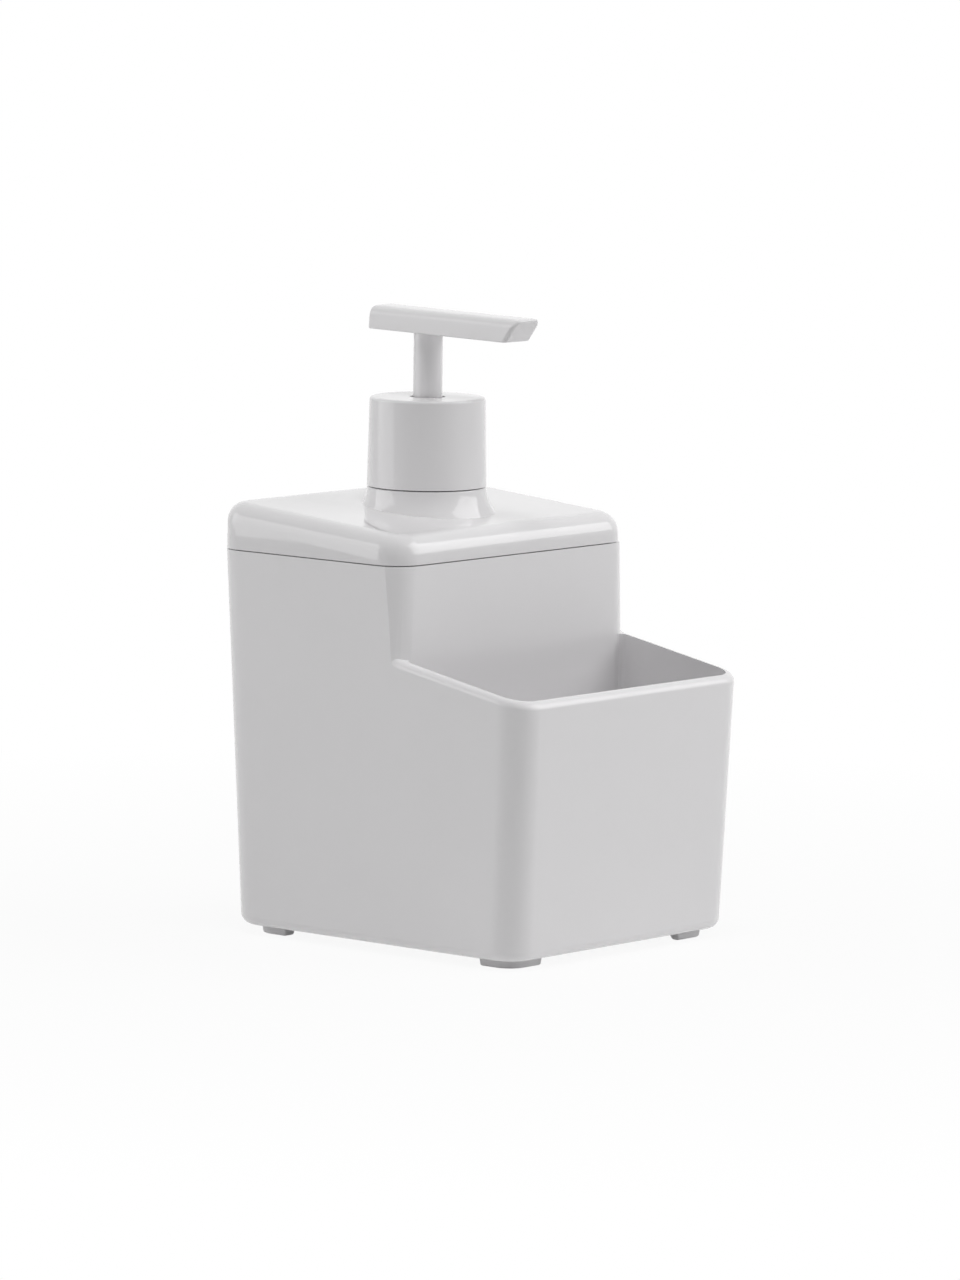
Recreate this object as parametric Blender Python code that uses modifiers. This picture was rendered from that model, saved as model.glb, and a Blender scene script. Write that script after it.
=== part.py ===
"""Pump soap dispenser with an open sponge tray, in metres, +Z up.

The feet stand on z = 0, the tray is at the front (-Y), and x = 0 is the middle of the width.
Every turned piece of the pump has its origin on the pump's vertical axis.
"""
import math

import bmesh
import bpy
from mathutils import Vector

# General clearances
FIT_GAP = 0.0003
OVERRUN = 0.010
MERGE = 0.00001
UP = Vector((0, 0, 1))
FORWARD = Vector((0, -1, 0))

# Body moulding: a tapered tower at the back and a lower tray in front
BASE_WIDTH = 0.0969
OVERALL_DEPTH = 0.1147
TOWER_DEPTH = 0.0703
SEAM_RISE = 0.10785
RIM_RISE = 0.0731
RIM_SLOPE = 0.187
WALL = 0.0025
FLOOR = 0.0028
SIDE_DRAFT = 0.0217
BACK_DRAFT = 0.0441
TRAY_DRAFT = 0.0422
TOWER_DRAFT = 0.0040
CORNER_RADIUS = 0.0090
CORNER_SEGMENTS = 8
BASE_FILLET = 0.0030
BASE_FILLET_SEGMENTS = 5
RIM_EDGE = 0.0021
RIM_EDGE_SEGMENTS = 6
SHOULDER_RADIUS = 0.0045
SHOULDER_STEPS = 5
SHOULDER_MARGIN = 0.0003
SHOULDER_OUTSET = 0.0007
SHOULDER_DRAFT = 0.030
TRAY_FILLET = 0.0025
TRAY_FILLET_SEGMENTS = 4

# Corner feet, each seated in a shallow recess of the base and cut off towards the middle
FOOT_RISE = 0.00245
FOOT_WIDTH = 0.0140
FOOT_LENGTH = 0.0124
FOOT_CUT = 0.0094
FOOT_CORNER = 0.0058
FOOT_RADIUS = 0.0008
FOOT_EDGE = 0.0004
FOOT_EDGE_SEGMENTS = 2
FOOT_TAPER = 0.0004
FOOT_PLUG = 0.0009
FOOT_INSET_SIDE = 0.0046
FOOT_INSET_FRONT = 0.0044
FOOT_INSET_BACK = 0.0053

# Lid: a wedge that falls towards the front, with a boss and a threaded neck
LID_FRONT_RISE = 0.00827
LID_SLOPE = 0.0820
LID_DRAFT = 0.010
LID_EDGE = 0.0056
LID_EDGE_SEGMENTS = 6
LID_TOP = 0.0022
SKIRT_DEPTH = 0.0050
SKIRT_WALL = 0.0016
SKIRT_GAP = 0.0005
BOSS_RADIUS = 0.0172
BOSS_FLARE = 0.0036
BOSS_RISE = 0.00595
BOSS_DROP = 0.0085
BOSS_EDGE = 0.0004
BOSS_CURVE = 1.8
BOSS_STEPS = 6
NECK_RADIUS = 0.0127
NECK_BORE = 0.0109
NECK_RISE = 0.0140
THREAD_PITCH = 0.004233
THREAD_BEAD = 0.0009
NECK_THREAD_TURNS = 1.6
NECK_THREAD_TOP = 0.0020
CAP_THREAD_TURNS = 1.25
THREAD_POINTS = 20

# Pump axis and its closure
PUMP_BACK = 0.03597
COLLAR_HEIGHT = 0.0255
COLLAR_TOP_RADIUS = 0.01665
COLLAR_FOOT_RADIUS = 0.0172
COLLAR_BORE = 0.0155
COLLAR_TOP = 0.0016
COLLAR_EDGE = 0.0009
STEM_HOLE = 0.0051
CAP_BORE = 0.0140
CAP_WALL = 0.0012
CAP_FLANGE = 0.0015
CAP_FLANGE_BORE = 0.0098
CAP_LIFT = 0.0005

# Pump housing, from its flange down to the tail that takes the dip tube
GASKET_THICKNESS = 0.0010
GASKET_RADIUS = 0.0125
FLANGE_RADIUS = 0.0126
FLANGE_THICKNESS = 0.0015
BARREL_RADIUS = 0.0070
BARREL_BORE = 0.0059
BARREL_LENGTH = 0.0521
CAGE_BORE = 0.0031
CAGE_DEPTH = 0.0072
SEAT_BORE = 0.0015
SEAT_THICKNESS = 0.0012
TAIL_RADIUS = 0.0051
TAIL_BORE = 0.0038
TAIL_LENGTH = 0.0070
INLET_BALL_RADIUS = 0.0024

# Guide ring round the stem
RING_FLANGE_RADIUS = 0.0130
RING_FLANGE = 0.0016
RING_HUB_RADIUS = 0.0094
RING_HUB = 0.0048
RING_BORE = 0.0045
RING_SLEEVE_RADIUS = 0.0055
RING_SLEEVE = 0.0094

# Stem, piston, poppet and spring
STEM_RADIUS = 0.0042
STEM_FOOT_RADIUS = 0.0030
STEM_FOOT = 0.0095
STEM_BORE = 0.0014
STEM_SHOW = 0.0184
STEM_TOP_BORE = 0.0023
STEM_TOP_CHAMBER = 0.0076
STEM_INSERT = 0.0030
OUTLET_BALL_RADIUS = 0.0017
PISTON_RADIUS = 0.0056
PISTON_WAIST = 0.0049
PISTON_LIP = 0.0018
POPPET_RADIUS = 0.0049
POPPET_FLANGE = 0.0012
POPPET_SPIGOT_RADIUS = 0.00105
POPPET_SPIGOT = 0.0056
POPPET_NOSE_RADIUS = 0.0029
POPPET_NOSE = 0.0030
RETAINER_RADIUS = 0.0056
RETAINER_FLANGE = 0.0011
RETAINER_SLEEVE_RADIUS = 0.0028
RETAINER_SLEEVE = 0.0027
RETAINER_BORE = 0.0019
SPRING_WIRE = 0.0010
SPRING_RADIUS = 0.0040
SPRING_TURNS = 8
SPRING_POINTS = 10
TUBE_RADIUS = 0.0035
TUBE_BORE = 0.0026
TUBE_FLOOR_GAP = 0.0030

# Lever head
HEAD_BACK = 0.0181
HEAD_FRONT = 0.0382
HEAD_WIDTH = 0.0113
HEAD_THICKNESS = 0.0067
HEAD_DROOP = 0.0185
HEAD_CUT = 0.0048
HEAD_BACK_LEAN = 0.0006
HEAD_CROWN_RADIUS = 0.0026
HEAD_FRONT_RADIUS = 0.0012
HEAD_END_EDGE = 0.0005
HEAD_LOWER_EDGE = 0.0003
HEAD_SEGMENTS = 5
SOCKET_ROOF = 0.0021
CHANNEL_RADIUS = 0.0014
SPOUT_INSET = 0.0090

# Roundness of the turned pieces
EDGE_STEPS = 5
STEPS_WIDE = 48
STEPS_MIDDLE = 32
STEPS_FINE = 24

# Places that follow from the sizes above
BASE_Z = FOOT_RISE
SEAM_Z = BASE_Z + SEAM_RISE
RIM_Z = BASE_Z + RIM_RISE
FLOOR_Z = BASE_Z + FLOOR
BACK_Y = OVERALL_DEPTH / 2
FRONT_Y = -OVERALL_DEPTH / 2
TOWER_Y = BACK_Y - TOWER_DEPTH
PUMP_Y = BACK_Y - PUMP_BACK
LID_Z = SEAM_Z + FIT_GAP
AXIS_TOP_Z = SEAM_Z + LID_FRONT_RISE + LID_SLOPE * (PUMP_Y - TOWER_Y)
BOSS_Z = AXIS_TOP_Z + BOSS_RISE
NECK_Z = BOSS_Z + NECK_RISE
COLLAR_Z = BOSS_Z + FIT_GAP
COLLAR_TOP_Z = COLLAR_Z + COLLAR_HEIGHT
GASKET_Z = NECK_Z + FIT_GAP
FLANGE_Z = GASKET_Z + GASKET_THICKNESS + FIT_GAP
FLANGE_TOP_Z = FLANGE_Z + FLANGE_THICKNESS
RING_Z = FLANGE_TOP_Z + FIT_GAP
CAP_FLANGE_Z = RING_Z + RING_FLANGE + FIT_GAP
CAGE_TOP_Z = FLANGE_TOP_Z - BARREL_LENGTH
SEAT_Z = CAGE_TOP_Z - CAGE_DEPTH
TAIL_TOP_Z = SEAT_Z - (CAGE_BORE - SEAT_BORE) - SEAT_THICKNESS
TAIL_Z = TAIL_TOP_Z - TAIL_LENGTH
HEAD_Z = COLLAR_TOP_Z + STEM_SHOW
STEM_TOP_Z = HEAD_Z + STEM_INSERT
SLEEVE_FOOT_Z = RING_Z - RING_SLEEVE
PISTON_TOP_Z = SLEEVE_FOOT_Z - FIT_GAP
STEM_SHOULDER_Z = PISTON_TOP_Z + FIT_GAP
STEM_FOOT_Z = STEM_SHOULDER_Z - STEM_FOOT
PISTON_FOOT_Z = STEM_FOOT_Z
POPPET_TOP_Z = STEM_FOOT_Z - FIT_GAP
POPPET_FOOT_Z = POPPET_TOP_Z - POPPET_FLANGE
RETAINER_Z = CAGE_TOP_Z + FIT_GAP


def back_y(z):
    """Y of the body's back face at a height."""
    return BACK_Y - BACK_DRAFT * (SEAM_Z - z)


def front_y(z):
    """Y of the tray's front face at a height."""
    return FRONT_Y + TRAY_DRAFT * (RIM_Z - z)


def tower_y(z):
    """Y of the tower's front face at a height."""
    return TOWER_Y - TOWER_DRAFT * (SEAM_Z - z)


def half_width(z):
    """Half of the body's width at a height."""
    return BASE_WIDTH / 2 + SIDE_DRAFT * (z - BASE_Z)


def side_outset(z):
    """How far the tower form stands out from the body's sides at a height."""
    return SHOULDER_OUTSET + (SHOULDER_DRAFT + SIDE_DRAFT) * (SEAM_Z - z)


def crease_y(z):
    """Y where the tower's rounded front corners meet the body's sides at a height."""
    across = max(CORNER_RADIUS - side_outset(z), 0)
    return tower_y(z) + CORNER_RADIUS - math.sqrt(CORNER_RADIUS ** 2 - across ** 2)


def rim_z(y):
    """Height of the tray's sloping rim at a depth."""
    return RIM_Z + RIM_SLOPE * (y - FRONT_Y)


def lid_top_z(y):
    """Height of the lid's sloping top at a depth."""
    return SEAM_Z + LID_FRONT_RISE + LID_SLOPE * (y - TOWER_Y)


def clear_scene():
    for old in list(bpy.data.objects):
        bpy.data.objects.remove(old, do_unlink=True)


def new_collection(name):
    collection = bpy.data.collections.new(name)
    bpy.context.scene.collection.children.link(collection)
    return collection


def plastic(name, color, roughness, metallic=0.0):
    """A Principled material in one colour."""
    material = bpy.data.materials.new(name)
    material.use_nodes = True
    shader = material.node_tree.nodes["Principled BSDF"]
    shader.inputs["Base Color"].default_value = (*color, 1.0)
    shader.inputs["Roughness"].default_value = roughness
    shader.inputs["Metallic"].default_value = metallic
    return material


def place(name, bm, look=None):
    """Turn a bmesh into a smooth-shaded object among the parts, or among the cutters if it has no look."""
    mesh = bpy.data.meshes.new(name)
    bm.to_mesh(mesh)
    bm.free()
    mesh.shade_smooth()
    mesh.set_sharp_from_angle(angle=math.radians(40))
    obj = bpy.data.objects.new(name, mesh)
    if look is None:
        CUTTERS.objects.link(obj)
        obj.hide_render = True
        obj.display_type = "WIRE"
    else:
        PARTS.objects.link(obj)
        mesh.materials.append(look)
    return obj


def combine(obj, other, operation):
    """Add an exact Boolean with another object."""
    boolean = obj.modifiers.new(operation.lower(), "BOOLEAN")
    boolean.operation = operation
    boolean.solver = "EXACT"
    boolean.object = other
    return boolean


def cut(obj, *cutters):
    for cutter in cutters:
        combine(obj, cutter, "DIFFERENCE")


def join(obj, *others):
    for other in others:
        combine(obj, other, "UNION")


def corner_block(corner):
    """A cube whose eight corners are moved to corner(side, depth, height), each argument -1 or 1."""
    bm = bmesh.new()
    bmesh.ops.create_cube(bm, size=2)
    for vertex in bm.verts:
        side, depth, height = (round(value) for value in vertex.co)
        vertex.co = Vector(corner(side, depth, height))
    return bm


def round_edges(bm, chosen, width, segments, clamped=True):
    edges = [edge for edge in bm.edges if chosen(edge)]
    bmesh.ops.bevel(bm, geom=edges, offset=width, segments=segments, profile=0.5,
                    affect="EDGES", clamp_overlap=clamped)


def is_upright(edge):
    """True for an edge that runs mainly up and down."""
    run = edge.verts[1].co - edge.verts[0].co
    return abs(run.z) > abs(run.x) + abs(run.y)


def ring_towards(bm, direction):
    """A test for the edges round the face that looks most nearly along a direction."""
    bm.normal_update()
    edges = set(max(bm.faces, key=lambda face: face.normal.dot(direction)).edges)
    return lambda edge: edge in edges


def turned(name, outline, steps, look=None):
    """Turn a closed outline of (radius, z) points round the pump's axis.

    The outline runs down its outer side first. Points on the axis close the piece there.
    """
    bm = bmesh.new()
    vertices = [bm.verts.new((radius, 0, z)) for radius, z in outline]
    on_axis = outline[0][0] == 0 and outline[-1][0] == 0
    pairs = list(zip(vertices, vertices[1:]))
    if not on_axis:
        pairs.append((vertices[-1], vertices[0]))
    for first, second in pairs:
        bm.edges.new((first, second))
    obj = place(name, bm, look)
    screw = obj.modifiers.new("turn", "SCREW")
    screw.axis = "Z"
    screw.steps = steps
    screw.render_steps = steps
    screw.use_merge_vertices = True
    screw.merge_threshold = MERGE
    screw.use_smooth_shade = True
    obj.location.y = PUMP_Y
    return obj


def rod(name, radius, low, high, steps):
    """A solid turned cutter from one height to another."""
    return turned(name, [(0, high), (radius, high), (radius, low), (0, low)], steps)


def wire(name, points, radius, resolution, look=None):
    """A round wire along a polyline, as a curve with filled caps that is made a mesh."""
    curve = bpy.data.curves.new(name, "CURVE")
    curve.dimensions = "3D"
    curve.bevel_depth = radius
    curve.bevel_resolution = resolution
    curve.use_fill_caps = True
    spline = curve.splines.new("POLY")
    spline.points.add(len(points) - 1)
    for spot, point in zip(spline.points, points):
        spot.co = (*point, 1)
    guide = bpy.data.objects.new(name + "_guide", curve)
    CUTTERS.objects.link(guide)
    bpy.context.view_layer.update()
    evaluated = guide.evaluated_get(bpy.context.evaluated_depsgraph_get())
    mesh = bpy.data.meshes.new_from_object(evaluated)
    bpy.data.objects.remove(guide, do_unlink=True)
    bm = bmesh.new()
    bm.from_mesh(mesh)
    bmesh.ops.remove_doubles(bm, verts=bm.verts, dist=MERGE)
    obj = place(name, bm, look)
    obj.location.y = PUMP_Y
    return obj


def helix(radius, low, pitch, turns, points_per_turn, lead_in=0):
    """Points of a right-handed helix round the axis, drawn towards it by lead_in at both ends."""
    count = round(turns * points_per_turn)
    points = []
    for index in range(count + 1):
        angle = 2 * math.pi * index / points_per_turn
        fade = 1 - min(index, count - index, points_per_turn / 4) / (points_per_turn / 4)
        reach = radius + lead_in * fade
        z = low + pitch * angle / (2 * math.pi)
        points.append((reach * math.cos(angle), reach * math.sin(angle), z))
    return points


def fillet(before, corner, after, radius, steps):
    """Points of an arc that rounds the corner between two straight runs."""
    toward_start = (Vector(before) - Vector(corner)).normalized()
    toward_end = (Vector(after) - Vector(corner)).normalized()
    half = toward_start.angle(toward_end) / 2
    centre = Vector(corner) + (toward_start + toward_end).normalized() * (radius / math.sin(half))
    first = Vector(corner) + toward_start * (radius / math.tan(half)) - centre
    last = Vector(corner) + toward_end * (radius / math.tan(half)) - centre
    arc = (first.slerp(last, step / steps).normalized() for step in range(steps + 1))
    return [centre + radius * direction for direction in arc]


def extruded(name, outline, half_length):
    """A cutter with an outline of (y, z) points, extruded along X to both sides of the middle."""
    bm = bmesh.new()
    face = bm.faces.new([bm.verts.new((-half_length, y, z)) for y, z in outline])
    grown = bmesh.ops.extrude_face_region(bm, geom=[face])["geom"]
    for vertex in (item for item in grown if isinstance(item, bmesh.types.BMVert)):
        vertex.co.x = half_length
    bmesh.ops.recalc_face_normals(bm, faces=bm.faces)
    return place(name, bm)


def outer_form(name, look=None):
    """Body outline before it is hollowed: drafted sides, upright corners and base edge rounded."""
    def corner(side, depth, height):
        z = SEAM_Z if height > 0 else BASE_Z
        y = back_y(z) if depth > 0 else front_y(z)
        return side * half_width(z), y, z

    bm = corner_block(corner)
    round_edges(bm, is_upright, CORNER_RADIUS, CORNER_SEGMENTS)
    round_edges(bm, ring_towards(bm, -UP), BASE_FILLET, BASE_FILLET_SEGMENTS)
    return place(name, bm, look)


def tower_form(name, low):
    """The tower alone, from a height up. Its sides stand out from the body's and lean outwards going
    down, so its rounded front corners meet the body's sides in a crease that nears the front."""
    def corner(side, depth, height):
        z = SEAM_Z + OVERRUN if height > 0 else low
        y = back_y(z) + OVERRUN if depth > 0 else tower_y(z)
        return side * (half_width(z) + side_outset(z)), y, z

    bm = corner_block(corner)
    round_edges(bm, is_upright, CORNER_RADIUS, CORNER_SEGMENTS)
    return place(name, bm)


def tray_cavity():
    """Inside of the sponge tray, open upwards, with a fillet where its sides meet the tower's front."""
    def corner(side, depth, height):
        z = SEAM_Z if height > 0 else FLOOR_Z
        y = tower_y(z) + SHOULDER_MARGIN if depth > 0 else front_y(z) + WALL
        return side * (half_width(z) - WALL), y, z

    def is_front(edge):
        return is_upright(edge) and edge.verts[0].co.y < (FRONT_Y + TOWER_Y) / 2

    def is_back(edge):
        return is_upright(edge) and not is_front(edge)

    bm = corner_block(corner)
    round_edges(bm, is_front, CORNER_RADIUS - WALL, CORNER_SEGMENTS)
    round_edges(bm, is_back, TRAY_FILLET, TRAY_FILLET_SEGMENTS)
    return place("tray_cavity", bm)


def rim_cutter():
    """Clears everything above the tray's sloping rim, up to the tower's shoulder."""
    front = (FRONT_Y - OVERRUN, rim_z(FRONT_Y - OVERRUN))
    shoulder_y = crease_y(rim_z(TOWER_Y)) + SHOULDER_MARGIN
    shoulder = (shoulder_y, rim_z(shoulder_y))
    top_back = (crease_y(SEAM_Z) + SHOULDER_MARGIN, SEAM_Z)
    lean = (top_back[0] - shoulder[0]) / (top_back[1] - shoulder[1])
    top_back = (top_back[0] + lean * OVERRUN, top_back[1] + OVERRUN)
    arc = fillet(front, shoulder, top_back, SHOULDER_RADIUS, SHOULDER_STEPS)
    outline = [front, *arc, top_back, (front[0], top_back[1])]
    return extruded("rim_cutter", outline, half_width(SEAM_Z) + OVERRUN)


def reservoir_cavity():
    """Inside of the tower, open at the seam."""
    def corner(side, depth, height):
        z = SEAM_Z + OVERRUN if height > 0 else FLOOR_Z
        y = back_y(z) - WALL if depth > 0 else tower_y(z) + WALL
        return side * (half_width(z) - WALL), y, z

    bm = corner_block(corner)
    round_edges(bm, is_upright, CORNER_RADIUS - WALL, CORNER_SEGMENTS)
    return place("reservoir_cavity", bm)


def foot_block(name, x_side, y_side, grow, low, high, look=None):
    """A foot's tapered pad, or the recess for it when grown.

    Its outer corner is on the origin in plan and points to x_side and y_side, each -1 or 1.
    """
    def corner(side, depth, height):
        reach = grow if height > 0 else grow - FOOT_TAPER
        x = reach if side == x_side else -FOOT_WIDTH - reach
        y = reach if depth == y_side else -FOOT_LENGTH - reach
        return x * x_side, y * y_side, high if height > 0 else low

    def inner_sides(edge):
        """How many of the pad's two sides towards the middle of the base an edge is near."""
        x, y, _ = edge.verts[0].co
        return (x * x_side < -FOOT_WIDTH / 2) + (y * y_side < -FOOT_LENGTH / 2)

    bm = corner_block(corner)
    cut_off = FOOT_CUT + (2 - math.sqrt(2)) * grow
    round_edges(bm, lambda edge: is_upright(edge) and inner_sides(edge) == 2, cut_off, 1)
    round_edges(bm, lambda edge: is_upright(edge) and inner_sides(edge) > 0, FOOT_RADIUS + grow,
                FOOT_EDGE_SEGMENTS)
    round_edges(bm, lambda edge: is_upright(edge) and inner_sides(edge) == 0, FOOT_CORNER + grow,
                CORNER_SEGMENTS)
    if look is not None:
        round_edges(bm, ring_towards(bm, -UP), FOOT_EDGE, FOOT_EDGE_SEGMENTS, clamped=False)
    return place(name, bm, look)


def foot_spots():
    """Foot name, the sides of the base it is at, and the place of its outer corner."""
    for depth, depth_name in ((-1, "front"), (1, "back")):
        for side, side_name in ((-1, "left"), (1, "right")):
            x = side * (BASE_WIDTH / 2 - FOOT_INSET_SIDE)
            y = front_y(BASE_Z) + FOOT_INSET_FRONT if depth < 0 else back_y(BASE_Z) - FOOT_INSET_BACK
            yield f"foot_{depth_name}_{side_name}", side, depth, (x, y, 0)


def round_rim(obj):
    """Replace the body's modifiers by their result and round the outer edge of the tray's rim."""
    bpy.context.view_layer.update()
    evaluated = obj.evaluated_get(bpy.context.evaluated_depsgraph_get())
    mesh = bpy.data.meshes.new_from_object(evaluated)
    bm = bmesh.new()
    bm.from_mesh(mesh)
    bm.normal_update()

    def is_cut(face):
        return abs(face.normal.x) < MERGE and RIM_Z < face.calc_center_median().z < SEAM_Z - MERGE

    def is_rim_edge(edge):
        first, second = edge.link_faces
        return is_cut(first) != is_cut(second) and max(first.normal.z, second.normal.z) < 1 - MERGE

    round_edges(bm, is_rim_edge, RIM_EDGE, RIM_EDGE_SEGMENTS)
    obj.modifiers.clear()
    bm.to_mesh(obj.data)
    bm.free()


def make_body():
    """The tray's block with its rim rounded, the tower joined to it, and both hollowed."""
    body = outer_form("body_shell", LOOKS["body"])
    cut(body, rim_cutter())
    round_rim(body)
    tower = outer_form("tower")
    combine(tower, tower_form("tower_top", RIM_Z), "INTERSECT")
    join(body, tower)
    tray = tray_cavity()
    cut(tray, tower_form("tower_front", BASE_Z - OVERRUN))
    cut(body, tray, reservoir_cavity())
    for name, side, depth, spot in foot_spots():
        recess = foot_block(name + "_recess", side, depth, FIT_GAP, BASE_Z - OVERRUN,
                            BASE_Z + FOOT_PLUG + FIT_GAP)
        recess.location = spot
        cut(body, recess)


def make_feet():
    for name, side, depth, spot in foot_spots():
        foot = foot_block(name, side, depth, 0, 0, BASE_Z + FOOT_PLUG, LOOKS["foot"])
        foot.location = spot


def lid_wedge():
    """Outside of the lid, its upright corners and upper edges rounded."""
    def corner(side, depth, height):
        y = BACK_Y if depth > 0 else TOWER_Y
        z = lid_top_z(y) if height > 0 else LID_Z
        lean = LID_DRAFT * (z - LID_Z)
        return side * (half_width(SEAM_Z) - lean), y - depth * lean, z

    bm = corner_block(corner)
    round_edges(bm, is_upright, CORNER_RADIUS, CORNER_SEGMENTS)
    round_edges(bm, ring_towards(bm, UP), LID_EDGE, LID_EDGE_SEGMENTS)
    return place("lid", bm, LOOKS["lid"])


def lid_block(name, inset, low, roof):
    """A block inset from the lid's outline, from a height up to roof below the sloping top."""
    def corner(side, depth, height):
        y = BACK_Y - inset if depth > 0 else TOWER_Y + inset
        z = lid_top_z(y) - roof if height > 0 else low
        return side * (half_width(SEAM_Z) - inset), y, z

    bm = corner_block(corner)
    round_edges(bm, is_upright, max(CORNER_RADIUS - inset, SKIRT_WALL), CORNER_SEGMENTS)
    return place(name, bm)


def boss():
    """Neck on a round boss that has a level top and flares outwards into the sloping lid."""
    neck_root = (NECK_RADIUS, BOSS_Z)
    foot = (BOSS_RADIUS, BOSS_Z - BOSS_DROP)
    outline = [
        (0, NECK_Z),
        (NECK_RADIUS, NECK_Z),
        neck_root,
        *fillet(neck_root, (BOSS_RADIUS, BOSS_Z), foot, BOSS_EDGE, EDGE_STEPS),
    ]
    for step in range(1, BOSS_STEPS + 1):
        drop = step / BOSS_STEPS
        radius = BOSS_RADIUS + BOSS_FLARE * drop ** BOSS_CURVE
        outline.append((radius, BOSS_Z - BOSS_EDGE - (BOSS_DROP - BOSS_EDGE) * drop))
    outline.append((0, BOSS_Z - BOSS_DROP))
    return turned("boss", outline, STEPS_WIDE)


def make_lid():
    lid = lid_wedge()
    inset = WALL + SKIRT_GAP
    skirt_foot = SEAM_Z - SKIRT_DEPTH
    skirt = lid_block("lid_skirt", inset, skirt_foot, LID_TOP * 2)
    hollow = lid_block("lid_hollow", inset + SKIRT_WALL, skirt_foot - OVERRUN, LID_TOP)
    thread_low = NECK_Z - NECK_THREAD_TOP - THREAD_PITCH * NECK_THREAD_TURNS
    thread = wire("neck_thread", helix(NECK_RADIUS, thread_low, THREAD_PITCH, NECK_THREAD_TURNS,
                                       THREAD_POINTS, -THREAD_BEAD), THREAD_BEAD, 1)
    join(lid, skirt, boss(), thread)
    cut(lid, hollow)
    cut(lid, rod("neck_bore", NECK_BORE, SEAM_Z, NECK_Z + OVERRUN, STEPS_MIDDLE))


def make_closure():
    """Smooth collar sleeve over the threaded cap, and the gasket on the neck."""
    bore_top = COLLAR_TOP_Z - COLLAR_TOP
    foot = (COLLAR_FOOT_RADIUS, COLLAR_Z)
    turned("collar_sleeve", [
        *fillet((0, COLLAR_TOP_Z), (COLLAR_TOP_RADIUS, COLLAR_TOP_Z), foot, COLLAR_EDGE, EDGE_STEPS),
        foot,
        (COLLAR_BORE, COLLAR_Z),
        (COLLAR_BORE, bore_top),
        (STEM_HOLE, bore_top),
        (STEM_HOLE, COLLAR_TOP_Z),
    ], STEPS_WIDE, LOOKS["collar"])

    cap_top = CAP_FLANGE_Z + CAP_FLANGE
    cap = turned("threaded_cap", [
        (CAP_BORE + CAP_WALL, cap_top),
        (CAP_BORE + CAP_WALL, COLLAR_Z + CAP_LIFT),
        (CAP_BORE, COLLAR_Z + CAP_LIFT),
        (CAP_BORE, CAP_FLANGE_Z),
        (CAP_FLANGE_BORE, CAP_FLANGE_Z),
        (CAP_FLANGE_BORE, cap_top),
    ], STEPS_WIDE, LOOKS["cap"])
    neck_low = NECK_Z - NECK_THREAD_TOP - THREAD_PITCH * NECK_THREAD_TURNS
    cap_low = neck_low - THREAD_PITCH / 2
    run_out = (CAP_WALL - THREAD_BEAD) / 2
    thread = wire("cap_thread", helix(CAP_BORE, cap_low, THREAD_PITCH, CAP_THREAD_TURNS,
                                      THREAD_POINTS, run_out), THREAD_BEAD, 1)
    join(cap, thread)

    turned("neck_gasket", [
        (GASKET_RADIUS, GASKET_Z + GASKET_THICKNESS),
        (GASKET_RADIUS, GASKET_Z),
        (NECK_BORE, GASKET_Z),
        (NECK_BORE, GASKET_Z + GASKET_THICKNESS),
    ], STEPS_MIDDLE, LOOKS["gasket"])


def make_housing():
    cone_drop = CAGE_BORE - SEAT_BORE
    barrel_foot = CAGE_TOP_Z - (BARREL_RADIUS - BARREL_BORE)
    turned("pump_housing", [
        (FLANGE_RADIUS, FLANGE_TOP_Z),
        (FLANGE_RADIUS, FLANGE_Z),
        (BARREL_RADIUS, FLANGE_Z),
        (BARREL_RADIUS, barrel_foot),
        (TAIL_RADIUS, barrel_foot - (BARREL_RADIUS - TAIL_RADIUS) * 2),
        (TAIL_RADIUS, TAIL_Z),
        (TAIL_BORE, TAIL_Z),
        (TAIL_BORE, TAIL_TOP_Z),
        (SEAT_BORE, TAIL_TOP_Z),
        (SEAT_BORE, SEAT_Z - cone_drop),
        (CAGE_BORE, SEAT_Z),
        (CAGE_BORE, CAGE_TOP_Z),
        (BARREL_BORE, CAGE_TOP_Z),
        (BARREL_BORE, FLANGE_TOP_Z),
    ], STEPS_MIDDLE, LOOKS["housing"])


def make_guide_ring():
    hub_top = RING_Z + RING_FLANGE + RING_HUB
    turned("guide_ring", [
        (RING_HUB_RADIUS, hub_top),
        (RING_HUB_RADIUS, RING_Z + RING_FLANGE),
        (RING_FLANGE_RADIUS, RING_Z + RING_FLANGE),
        (RING_FLANGE_RADIUS, RING_Z),
        (RING_SLEEVE_RADIUS, RING_Z),
        (RING_SLEEVE_RADIUS, SLEEVE_FOOT_Z),
        (RING_BORE, SLEEVE_FOOT_Z),
        (RING_BORE, hub_top),
    ], STEPS_MIDDLE, LOOKS["housing"])


def ball(name, radius, z, look):
    bm = bmesh.new()
    bmesh.ops.create_uvsphere(bm, u_segments=16, v_segments=10, radius=radius)
    obj = place(name, bm, look)
    obj.location = (0, PUMP_Y, z)
    return obj


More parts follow.
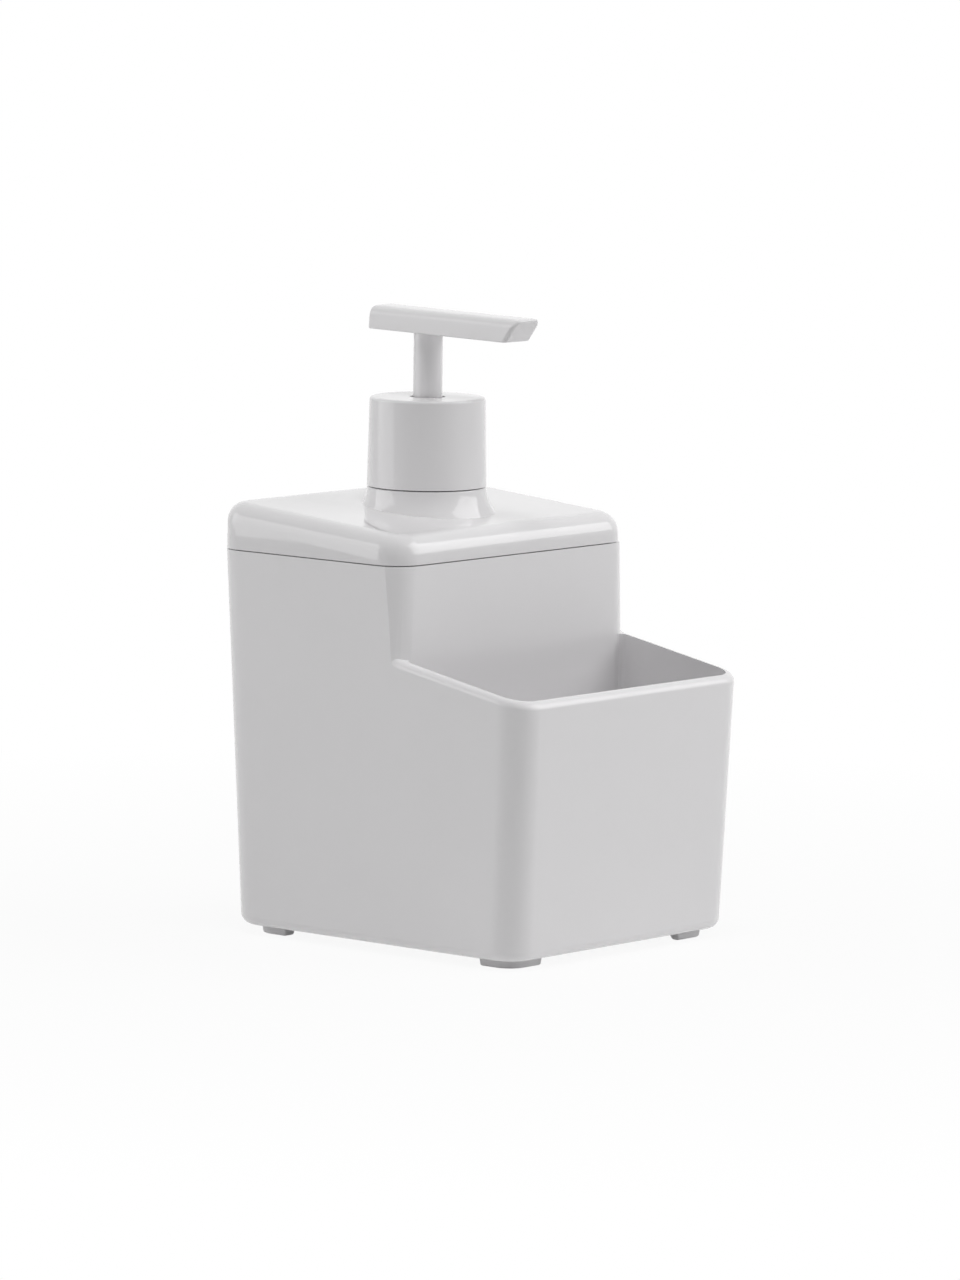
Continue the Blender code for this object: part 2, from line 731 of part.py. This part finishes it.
def make_valves():
    """Both balls, each resting a gap above its conical seat, and the inlet ball's retainer."""
    cone_foot = SEAT_Z - (CAGE_BORE - SEAT_BORE)
    rise = (INLET_BALL_RADIUS + FIT_GAP) * math.sqrt(2) - SEAT_BORE
    ball("inlet_ball", INLET_BALL_RADIUS, cone_foot + rise, LOOKS["steel"])

    chamber_z = STEM_TOP_Z - STEM_TOP_CHAMBER
    reach = OUTLET_BALL_RADIUS + FIT_GAP
    ball("outlet_ball", OUTLET_BALL_RADIUS, chamber_z + math.sqrt(reach ** 2 - STEM_BORE ** 2),
         LOOKS["steel"])

    turned("ball_retainer", [
        (RETAINER_RADIUS, RETAINER_Z + RETAINER_FLANGE),
        (RETAINER_RADIUS, RETAINER_Z),
        (RETAINER_SLEEVE_RADIUS, RETAINER_Z),
        (RETAINER_SLEEVE_RADIUS, RETAINER_Z - RETAINER_SLEEVE),
        (RETAINER_BORE, RETAINER_Z - RETAINER_SLEEVE),
        (RETAINER_BORE, RETAINER_Z + RETAINER_FLANGE),
    ], STEPS_FINE, LOOKS["housing"])


def make_spring():
    low = RETAINER_Z + RETAINER_FLANGE + FIT_GAP + SPRING_WIRE / 2
    high = POPPET_FOOT_Z - FIT_GAP - SPRING_WIRE / 2
    pitch = (high - low) / SPRING_TURNS
    wire("return_spring", helix(SPRING_RADIUS, low, pitch, SPRING_TURNS, SPRING_POINTS),
         SPRING_WIRE / 2, 1, LOOKS["steel"])


def make_tube():
    low = FLOOR_Z + TUBE_FLOOR_GAP
    high = TAIL_TOP_Z - FIT_GAP
    turned("dip_tube", [
        (TUBE_RADIUS, high),
        (TUBE_RADIUS, low),
        (TUBE_BORE, low),
        (TUBE_BORE, high),
    ], STEPS_FINE, LOOKS["tube"])


def make_plunger():
    """Stem with its valve chamber, the piston round its foot and the poppet under it."""
    chamber_z = STEM_TOP_Z - STEM_TOP_CHAMBER
    turned("stem", [
        (STEM_RADIUS, STEM_TOP_Z),
        (STEM_RADIUS, STEM_SHOULDER_Z),
        (STEM_FOOT_RADIUS, STEM_SHOULDER_Z),
        (STEM_FOOT_RADIUS, STEM_FOOT_Z),
        (STEM_BORE, STEM_FOOT_Z),
        (STEM_BORE, chamber_z),
        (STEM_TOP_BORE, chamber_z + STEM_TOP_BORE - STEM_BORE),
        (STEM_TOP_BORE, STEM_TOP_Z),
    ], STEPS_MIDDLE, LOOKS["stem"])

    bore = STEM_FOOT_RADIUS + FIT_GAP
    turned("piston", [
        (PISTON_RADIUS, PISTON_TOP_Z),
        (PISTON_RADIUS, PISTON_TOP_Z - PISTON_LIP),
        (PISTON_WAIST, PISTON_TOP_Z - PISTON_LIP * 2),
        (PISTON_WAIST, PISTON_FOOT_Z + PISTON_LIP * 2),
        (PISTON_RADIUS, PISTON_FOOT_Z + PISTON_LIP),
        (PISTON_RADIUS, PISTON_FOOT_Z),
        (bore, PISTON_FOOT_Z),
        (bore, PISTON_TOP_Z),
    ], STEPS_MIDDLE, LOOKS["piston"])

    turned("poppet", [
        (0, POPPET_TOP_Z + POPPET_SPIGOT),
        (POPPET_SPIGOT_RADIUS, POPPET_TOP_Z + POPPET_SPIGOT),
        (POPPET_SPIGOT_RADIUS, POPPET_TOP_Z),
        (POPPET_RADIUS, POPPET_TOP_Z),
        (POPPET_RADIUS, POPPET_FOOT_Z),
        (POPPET_NOSE_RADIUS, POPPET_FOOT_Z),
        (POPPET_NOSE_RADIUS, POPPET_FOOT_Z - POPPET_NOSE),
        (0, POPPET_FOOT_Z - POPPET_NOSE),
    ], STEPS_FINE, LOOKS["piston"])


def make_head():
    """Lever bar with a crown and an undercut front, a socket for the stem and a channel to the spout."""
    def corner(side, depth, height):
        high = height > 0
        back = HEAD_BACK - (HEAD_BACK_LEAN if high else 0)
        front = HEAD_FRONT - (0 if high else HEAD_CUT)
        y = back if depth > 0 else -front
        z = HEAD_Z + HEAD_DROOP * y + (HEAD_THICKNESS if high else 0)
        return side * HEAD_WIDTH / 2, y, z

    def is_long_top(edge):
        first, second = (vertex.co for vertex in edge.verts)
        return first.x == second.x and min(first.z, second.z) > HEAD_Z + HEAD_THICKNESS / 2

    def is_above(ring):
        low = HEAD_Z + HEAD_THICKNESS / 8
        return lambda edge: ring(edge) and (edge.verts[0].co.z + edge.verts[1].co.z) / 2 > low

    bm = corner_block(corner)
    round_edges(bm, is_long_top, HEAD_CROWN_RADIUS, HEAD_SEGMENTS)
    round_edges(bm, is_above(ring_towards(bm, FORWARD)), HEAD_FRONT_RADIUS, HEAD_SEGMENTS)
    round_edges(bm, is_above(ring_towards(bm, -FORWARD)), HEAD_END_EDGE, 2)
    round_edges(bm, ring_towards(bm, -UP), HEAD_LOWER_EDGE, 1)
    head = place("pump_head", bm, LOOKS["head"])
    head.location.y = PUMP_Y

    roof = HEAD_Z + HEAD_THICKNESS - SOCKET_ROOF
    socket = rod("socket", STEM_RADIUS + FIT_GAP, HEAD_Z - OVERRUN, roof, STEPS_MIDDLE)
    channel_z = roof - CHANNEL_RADIUS
    spout_y = HEAD_CUT + SPOUT_INSET - HEAD_FRONT
    bm = bmesh.new()
    bmesh.ops.create_cone(bm, cap_ends=True, segments=12, radius1=CHANNEL_RADIUS,
                          radius2=CHANNEL_RADIUS, depth=-spout_y)
    channel = place("channel", bm)
    channel.rotation_euler.x = math.pi / 2
    channel.location = (0, PUMP_Y + spout_y / 2, channel_z)
    spout = rod("spout_hole", CHANNEL_RADIUS, HEAD_Z - OVERRUN, channel_z, 12)
    spout.location.y = PUMP_Y + spout_y
    cut(head, socket, channel, spout)


clear_scene()
PARTS = new_collection("soap_dispenser")
CUTTERS = new_collection("cutters")
WHITE = (0.80, 0.79, 0.80)
LOOKS = {
    "body": plastic("body_plastic", WHITE, 0.28),
    "lid": plastic("lid_plastic", WHITE, 0.18),
    "collar": plastic("collar_plastic", WHITE, 0.25),
    "head": plastic("head_plastic", WHITE, 0.28),
    "stem": plastic("stem_plastic", WHITE, 0.30),
    "cap": plastic("cap_plastic", WHITE, 0.40),
    "foot": plastic("foot_plastic", (0.62, 0.61, 0.62), 0.55),
    "housing": plastic("housing_plastic", (0.78, 0.79, 0.80), 0.40),
    "piston": plastic("piston_plastic", (0.76, 0.77, 0.76), 0.50),
    "tube": plastic("tube_plastic", (0.80, 0.81, 0.82), 0.30),
    "gasket": plastic("gasket_rubber", (0.70, 0.70, 0.69), 0.70),
    "steel": plastic("spring_steel", (0.62, 0.62, 0.63), 0.25, 1.0),
}
make_body()
make_feet()
make_lid()
make_closure()
make_housing()
make_guide_ring()
make_valves()
make_spring()
make_tube()
make_plunger()
make_head()
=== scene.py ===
"""White studio picture of the pump soap dispenser: its finishes, with lamps, floor and camera round it."""
import math

import bpy
from mathutils import Matrix, Vector

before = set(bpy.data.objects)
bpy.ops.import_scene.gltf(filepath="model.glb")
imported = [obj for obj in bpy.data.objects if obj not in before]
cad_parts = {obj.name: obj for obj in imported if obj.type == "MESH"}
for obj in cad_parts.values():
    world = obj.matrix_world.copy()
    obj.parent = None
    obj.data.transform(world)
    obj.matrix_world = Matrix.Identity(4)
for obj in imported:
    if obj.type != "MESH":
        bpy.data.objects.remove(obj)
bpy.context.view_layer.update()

# Camera, fitted to the photograph's edges
CAMERA_AIM = Vector((-0.00077, -0.00012, 0.0848))
CAMERA_AZIMUTH = math.radians(-49.49)
CAMERA_ELEVATION = math.radians(6.977)
CAMERA_ROLL = math.radians(0.7025)
CAMERA_DISTANCE = 2.290
CAMERA_LENS = 225.46
SENSOR_HEIGHT = 36
CAMERA_REACH = 56

# Surroundings: their level as light, and where they are seen or mirrored
WORLD_LEVEL = 0.18
BACKGROUND_LEVEL = 1.0

# Lamps: name, degrees round from the camera, degrees up, watts, size, whether surfaces mirror it
LAMP_DISTANCE = 1.6
LAMPS = (
    ("lamp_left", -90, 12, 8.0, 1.3, True),
    ("lamp_right", 90, 32, 11.0, 1.3, True),
    ("lamp_top", 0, 78, 8.8, 0.5, False),
)

# Floor: its shading shows by SHADOW_SHARE near the middle and fades out between the two distances
FLOOR_RADIUS = 14
FLOOR_SIDES = 64
FLOOR_SHADE = 0.82
SHADOW_SHARE = 0.08
SHADOW_FULL = 0.08
SHADOW_END = 0.40

# Colours of the plastics and steel
BODY_WHITE = (0.91, 0.90, 0.91)
LID_WHITE = (0.87, 0.86, 0.87)
PUMP_WHITE = (0.88, 0.87, 0.88)
FOOT_WHITE = (0.86, 0.85, 0.86)
NATURAL_WHITE = (0.76, 0.77, 0.77)
SOFT_WHITE = (0.73, 0.74, 0.73)
TUBE_WHITE = (0.80, 0.81, 0.82)
SEAL_GREY = (0.66, 0.66, 0.65)
STEEL_GREY = (0.62, 0.62, 0.63)

# Optics of the plastics: the clear coat is smoother than what it covers
PLASTIC_IOR = 1.49
COAT_SMOOTHNESS = 1 / 3

# Surface detail: waves a metre of each pattern, and how far it moves the value it drives
MOTTLE_WAVES = 35
MOTTLE = 0.012
GLOSS_WAVES = 120
GLOSS_CHANGE = 0.15
GRAIN_WAVES = 4200
RIPPLE_WAVES = 160
STREAK_WAVES = 2500
STREAK_CHANGE = 0.3
STREAK_DARKENING = 0.1

# Octaves of noise in a pattern
SMOOTH_PATTERN = 1.0
PLAIN_PATTERN = 2.0
RICH_PATTERN = 3.0

# Smooth shading: faces that meet at more than these angles keep a crease
SMOOTH_ANGLE = math.radians(35)
BODY_SMOOTH_ANGLE = math.radians(20)
WELD_DISTANCE = 0.00001
LARGE_FACES_LEAD = 100


def node_in(tree, kind, **inputs):
    """A new node of a kind, with its named inputs set or linked."""
    node = tree.nodes.new(kind)
    for name, value in inputs.items():
        socket = node.inputs[name.replace("_", " ")]
        if isinstance(value, bpy.types.NodeSocket):
            tree.links.new(value, socket)
        else:
            socket.default_value = value
    return node


def combined(tree, operation, first, second):
    """The result of a two-value sum such as MAXIMUM or MULTIPLY on two sockets."""
    node = tree.nodes.new("ShaderNodeMath")
    node.operation = operation
    tree.links.new(first, node.inputs[0])
    tree.links.new(second, node.inputs[1])
    return node.outputs[0]


def noise(tree, place, scale, detail):
    """Fractal noise in the object's own metres; scale is in waves a metre."""
    return node_in(tree, "ShaderNodeTexNoise", Vector=place, Scale=scale, Detail=detail).outputs["Fac"]


def spread(tree, factor, low, high):
    """A factor from 0 to 1 moved to a range from low to high."""
    return node_in(tree, "ShaderNodeMapRange", Value=factor, To_Min=low, To_Max=high).outputs["Result"]


def tinted(tree, factor, first, last):
    """A colour that moves from the first to the last as a factor goes from 0 to 1."""
    ramp = node_in(tree, "ShaderNodeValToRGB", Fac=factor)
    ramp.color_ramp.elements[0].color = (*first, 1)
    ramp.color_ramp.elements[1].color = (*last, 1)
    return ramp.outputs["Color"]


def plastic(name, color, roughness, grain=0.0, ripple=0.0, coat=0.0):
    """Moulded plastic: slight mottling, uneven gloss, a fine mould grain and a slow ripple of the surface.

    grain and ripple are heights in metres.
    """
    material = bpy.data.materials.new(name)
    material.use_nodes = True
    tree = material.node_tree
    shader = tree.nodes["Principled BSDF"]
    shader.inputs["IOR"].default_value = PLASTIC_IOR
    shader.inputs["Coat Weight"].default_value = coat
    shader.inputs["Coat Roughness"].default_value = roughness * COAT_SMOOTHNESS
    place = tree.nodes.new("ShaderNodeTexCoord").outputs["Object"]

    clouds = noise(tree, place, MOTTLE_WAVES, RICH_PATTERN)
    darker = tuple(channel * (1 - MOTTLE) for channel in color)
    lighter = tuple(channel * (1 + MOTTLE) for channel in color)
    tree.links.new(tinted(tree, clouds, darker, lighter), shader.inputs["Base Color"])

    patches = noise(tree, place, GLOSS_WAVES, PLAIN_PATTERN)
    uneven = spread(tree, patches, roughness * (1 - GLOSS_CHANGE), roughness * (1 + GLOSS_CHANGE))
    tree.links.new(uneven, shader.inputs["Roughness"])

    grains = noise(tree, place, GRAIN_WAVES, SMOOTH_PATTERN)
    fine = node_in(tree, "ShaderNodeBump", Height=grains, Distance=grain)
    waves = noise(tree, place, RIPPLE_WAVES, SMOOTH_PATTERN)
    slow = node_in(tree, "ShaderNodeBump", Height=waves, Distance=ripple, Normal=fine.outputs["Normal"])
    tree.links.new(slow.outputs["Normal"], shader.inputs["Normal"])
    return material


def steel(name, color, roughness):
    """Bright drawn wire: metal with fine streaks in its colour and gloss."""
    material = bpy.data.materials.new(name)
    material.use_nodes = True
    tree = material.node_tree
    shader = tree.nodes["Principled BSDF"]
    shader.inputs["Metallic"].default_value = 1.0
    place = tree.nodes.new("ShaderNodeTexCoord").outputs["Object"]
    streaks = noise(tree, place, STREAK_WAVES, RICH_PATTERN)
    uneven = spread(tree, streaks, roughness * (1 - STREAK_CHANGE), roughness * (1 + STREAK_CHANGE))
    tree.links.new(uneven, shader.inputs["Roughness"])
    darker = tuple(channel * (1 - STREAK_DARKENING) for channel in color)
    tree.links.new(tinted(tree, streaks, darker, color), shader.inputs["Base Color"])
    return material


def sharp_edges(limit):
    """Modifier group that marks each edge sharp where its faces turn by more than a limit."""
    group = bpy.data.node_groups.new("sharp edges", "GeometryNodeTree")
    group.interface.new_socket("Geometry", in_out="INPUT", socket_type="NodeSocketGeometry")
    group.interface.new_socket("Geometry", in_out="OUTPUT", socket_type="NodeSocketGeometry")
    mesh = group.nodes.new("NodeGroupInput").outputs["Geometry"]
    angle = group.nodes.new("GeometryNodeInputMeshEdgeAngle").outputs["Unsigned Angle"]
    steep = node_in(group, "FunctionNodeCompare", A=angle, B=limit)
    steep.operation = "GREATER_THAN"
    marked = node_in(group, "GeometryNodeSetShadeSmooth", Geometry=mesh, Selection=steep.outputs["Result"],
                     Shade_Smooth=False)
    marked.domain = "EDGE"
    end = group.nodes.new("NodeGroupOutput")
    group.links.new(marked.outputs["Geometry"], end.inputs["Geometry"])
    return group


def dress(material, *nodes, creases=SMOOTH_ANGLE):
    """Give CAD nodes a material and smooth normals; their vertices stay as they are."""
    marker = sharp_edges(creases)
    for name in nodes:
        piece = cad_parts[name]
        piece.data.materials.clear()
        piece.data.materials.append(material)
        piece.data.shade_smooth()
        weld = piece.modifiers.new("weld", "WELD")
        weld.merge_threshold = WELD_DISTANCE
        sharp = piece.modifiers.new("sharp edges", "NODES")
        sharp.node_group = marker
        weighted = piece.modifiers.new("weighted normals", "WEIGHTED_NORMAL")
        weighted.weight = LARGE_FACES_LEAD
        weighted.keep_sharp = True


def seen_rays(tree):
    """1 for camera, glossy and transmission rays, 0 for the rays that light the object."""
    path = tree.nodes.new("ShaderNodeLightPath").outputs
    straight = combined(tree, "MAXIMUM", path["Is Camera Ray"], path["Is Glossy Ray"])
    return combined(tree, "MAXIMUM", straight, path["Is Transmission Ray"])


def make_world():
    """Even white surroundings: pure white where seen or mirrored, the studio's level as light."""
    world = bpy.data.worlds.new("studio")
    bpy.context.scene.world = world
    world.use_nodes = True
    tree = world.node_tree
    background = tree.nodes["Background"]
    background.inputs["Color"].default_value = (1, 1, 1, 1)
    level = spread(tree, seen_rays(tree), WORLD_LEVEL, BACKGROUND_LEVEL)
    tree.links.new(level, background.inputs["Strength"])


def make_floor():
    """A wide white disc. Where it is seen, a faint share of its real shading leaves a soft shadow."""
    bpy.ops.mesh.primitive_circle_add(vertices=FLOOR_SIDES, radius=FLOOR_RADIUS, fill_type="NGON")
    floor = bpy.context.object
    floor.name = "floor"
    material = bpy.data.materials.new("floor")
    material.use_nodes = True
    tree = material.node_tree
    tree.nodes.remove(tree.nodes["Principled BSDF"])
    diffuse = node_in(tree, "ShaderNodeBsdfDiffuse", Color=(FLOOR_SHADE, FLOOR_SHADE, FLOOR_SHADE, 1))
    white = node_in(tree, "ShaderNodeEmission", Strength=BACKGROUND_LEVEL)
    place = tree.nodes.new("ShaderNodeTexCoord").outputs["Object"]
    away = node_in(tree, "ShaderNodeVectorMath", Vector=place)
    away.operation = "LENGTH"
    whiteness = node_in(tree, "ShaderNodeMapRange", Value=away.outputs["Value"], From_Min=SHADOW_FULL,
                        From_Max=SHADOW_END, To_Min=1 - SHADOW_SHARE, To_Max=1.0)
    share = combined(tree, "MULTIPLY", seen_rays(tree), whiteness.outputs["Result"])
    mix = node_in(tree, "ShaderNodeMixShader", Fac=share)
    tree.links.new(diffuse.outputs[0], mix.inputs[1])
    tree.links.new(white.outputs[0], mix.inputs[2])
    tree.links.new(mix.outputs[0], tree.nodes["Material Output"].inputs["Surface"])
    floor.data.materials.append(material)


def direction(azimuth, elevation):
    """Unit vector towards a place round the object; azimuth 0 is in front of the tray."""
    return Vector((math.sin(azimuth) * math.cos(elevation), -math.cos(azimuth) * math.cos(elevation),
                   math.sin(elevation)))


def make_lamp(name, azimuth, elevation, power, size, mirrored):
    """A square soft box that looks at the middle of the object, azimuth counted from the camera's own."""
    lamp = bpy.data.objects.new(name, bpy.data.lights.new(name, "AREA"))
    bpy.context.scene.collection.objects.link(lamp)
    lamp.data.size = size
    lamp.data.energy = power
    away = direction(CAMERA_AZIMUTH + math.radians(azimuth), math.radians(elevation))
    lamp.location = CAMERA_AIM + away * LAMP_DISTANCE
    lamp.rotation_euler = away.to_track_quat("Z", "Y").to_euler()
    lamp.visible_glossy = mirrored


def make_camera():
    """The camera that the photograph was taken with, rolled by a little about its line of sight."""
    camera = bpy.data.objects.new("camera", bpy.data.cameras.new("camera"))
    bpy.context.scene.collection.objects.link(camera)
    camera.data.sensor_fit = "VERTICAL"
    camera.data.sensor_height = SENSOR_HEIGHT
    camera.data.lens = CAMERA_LENS
    camera.data.clip_end = CAMERA_REACH
    back = direction(CAMERA_AZIMUTH, CAMERA_ELEVATION)
    level_right = Vector((math.cos(CAMERA_AZIMUTH), math.sin(CAMERA_AZIMUTH), 0))
    level_up = back.cross(level_right)
    right = level_right * math.cos(CAMERA_ROLL) + level_up * math.sin(CAMERA_ROLL)
    up = back.cross(right)
    turn = Matrix((right, up, back)).transposed().to_4x4()
    camera.matrix_world = Matrix.Translation(CAMERA_AIM + back * CAMERA_DISTANCE) @ turn
    bpy.context.scene.camera = camera


bpy.context.scene.view_settings.view_transform = "Standard"
make_camera()
make_world()
make_floor()
for lamp_setting in LAMPS:
    make_lamp(*lamp_setting)

dress(plastic("body_plastic", BODY_WHITE, 0.22, grain=0.000002, ripple=0.00002, coat=0.2), "body_shell",
      creases=BODY_SMOOTH_ANGLE)
dress(plastic("lid_plastic", LID_WHITE, 0.05, ripple=0.000008, coat=0.3), "lid")
dress(plastic("closure_plastic", PUMP_WHITE, 0.18, ripple=0.00001, coat=0.2), "threaded_cap", "collar_sleeve")
dress(plastic("head_plastic", PUMP_WHITE, 0.20, ripple=0.00001, coat=0.2), "pump_head", "stem")
dress(plastic("foot_plastic", FOOT_WHITE, 0.50, grain=0.000006),
      "foot_front_left", "foot_front_right", "foot_back_left", "foot_back_right")
dress(plastic("housing_plastic", NATURAL_WHITE, 0.35, grain=0.000002),
      "pump_housing", "guide_ring", "ball_retainer")
dress(plastic("piston_plastic", SOFT_WHITE, 0.45, grain=0.000003), "piston", "poppet")
dress(plastic("tube_plastic", TUBE_WHITE, 0.25, ripple=0.00001), "dip_tube")
dress(plastic("gasket_rubber", SEAL_GREY, 0.65, grain=0.000004), "neck_gasket")
dress(steel("spring_steel", STEEL_GREY, 0.22), "return_spring", "inlet_ball", "outlet_ball")
